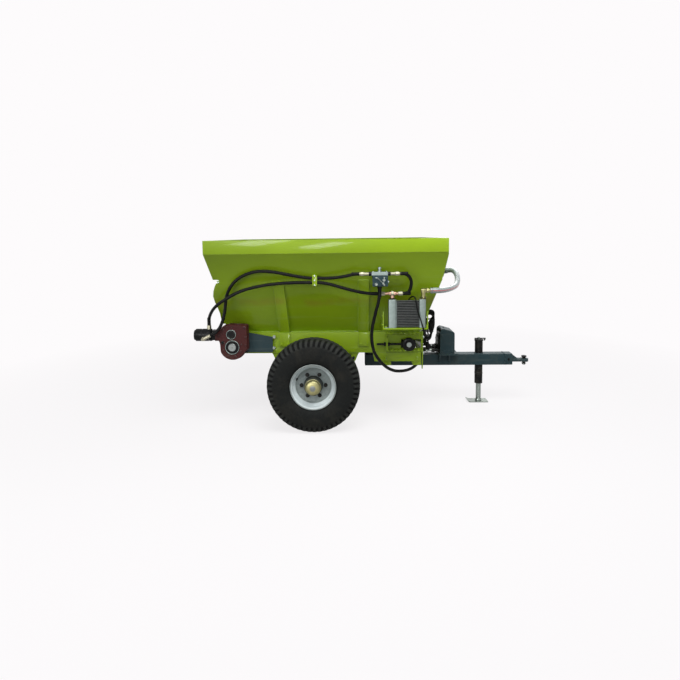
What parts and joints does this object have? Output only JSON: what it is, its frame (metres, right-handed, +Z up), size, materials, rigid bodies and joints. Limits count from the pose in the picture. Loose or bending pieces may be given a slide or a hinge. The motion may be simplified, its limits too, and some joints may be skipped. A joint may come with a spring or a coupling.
{
  "type": "trailed fertilizer spreader",
  "caption": "Trailed fertilizer spreader: open hopper over a belt floor, rear beater and door, two wheels, drawbar with jack and hydraulic drive.",
  "frame": {"origin": "on the ground, midway between the belt motor's rear end and the hitch eye's nose, on the machine's middle plane", "axes": "+X forwards to the tractor, +Y to the machine's left, +Z up"},
  "size_m": [3.406, 1.974, 1.765],
  "materials": {
    "green_paint": "gloss leaf-green enamel",
    "slate_paint": "satin slate-grey enamel",
    "black_paint": "satin black paint",
    "red_paint": "gloss oxide-red enamel over a rough casting",
    "tyre_rubber": "matt tyre rubber with a little dust",
    "belt_rubber": "matt conveyor belt rubber",
    "hose_rubber": "wrapped black hose cover",
    "clear_hose": "clear hose with wire reinforcement",
    "wheel_silver": "silver wheel enamel",
    "bare_steel": "machined steel",
    "zinc_plate": "bright zinc plate",
    "brass_fitting": "machined brass",
    "bare_aluminium": "mill-finish aluminium"
  },
  "bodies": {
    "chassis": {"hopper_side_right": "green_paint", "hopper_side_left": "green_paint", "hopper_front_wall": "green_paint", "hopper_rear_board": "green_paint", "frame_rail_right": "green_paint", "frame_rail_left": "green_paint", "frame_front_plate": "green_paint", "frame_cross_tube_rear": "green_paint", "frame_cross_tube_front": "green_paint", "drawbar_cradle": "green_paint", "axle_beam": "slate_paint", "axle_hanger_right": "green_paint", "axle_hanger_left": "green_paint", "conveyor_belt": "belt_rubber", "drive_roller": "bare_steel", "idler_roller": "bare_steel", "take_up_right": "black_paint", "take_up_left": "black_paint", "drive_bearing_left": "black_paint", "gearbox": "red_paint", "conveyor_motor": "black_paint", "beater_bearing_right": "black_paint", "beater_motor": "black_paint", "steel_lines_left": "black_paint", "drawbar": "slate_paint", "hitch_eye": "slate_paint", "hitch_pin": "black_paint", "jack_tube": "black_paint", "jack_handle": "black_paint", "pump_base": "slate_paint", "pump": "black_paint", "pump_hood": "slate_paint", "oil_tank": "slate_paint", "oil_cooler": "bare_aluminium", "cooler_fan": "black_paint", "cooler_bracket": "green_paint", "flow_valve": "bare_steel", "tee_fitting": "brass_fitting", "cooler_elbow": "brass_fitting", "hose_clip": "green_paint", "hose_valve_to_motor": "hose_rubber", "hose_motor_to_tee": "hose_rubber", "hose_valve_loop": "hose_rubber", "hose_pump_to_valve": "hose_rubber", "hose_cooler_to_tank": "clear_hose", "hose_tank_to_pump": "hose_rubber", "fan_lead": "hose_rubber", "fan_lead_hank": "hose_rubber", "fan_lead_plug": "hose_rubber"},
    "wheel_right": {"tyre_right": "tyre_rubber", "rim_right": "wheel_silver", "hub_right": "wheel_silver"},
    "wheel_left": {"tyre_left": "tyre_rubber", "rim_left": "wheel_silver", "hub_left": "wheel_silver"},
    "beater": {"beater": "slate_paint"},
    "rear_door": {"rear_door": "green_paint"},
    "jack_leg": {"jack_leg": "zinc_plate"}
  },
  "joints": [
    {"name": "wheel_right_spin", "type": "hinge", "parent": "chassis", "child": "wheel_right", "pos_m": [-0.541, -0.832, 0.43], "axis": [0, 1, 0], "continuous": true},
    {"name": "wheel_left_spin", "type": "hinge", "parent": "chassis", "child": "wheel_left", "pos_m": [-0.541, 0.832, 0.43], "axis": [0, 1, 0], "continuous": true},
    {"name": "beater_spin", "type": "hinge", "parent": "chassis", "child": "beater", "pos_m": [-1.321, 0, 0.985], "axis": [0, 1, 0], "continuous": true},
    {"name": "rear_door_swing", "type": "hinge", "parent": "chassis", "child": "rear_door", "pos_m": [-1.453, 0, 1.376], "axis": [0, 1, 0], "range_deg": [0, 80]},
    {"name": "jack_slide", "type": "slide", "parent": "chassis", "child": "jack_leg", "axis": [0, 0, 1], "range_m": [-0.05, 0.15]}
  ]
}
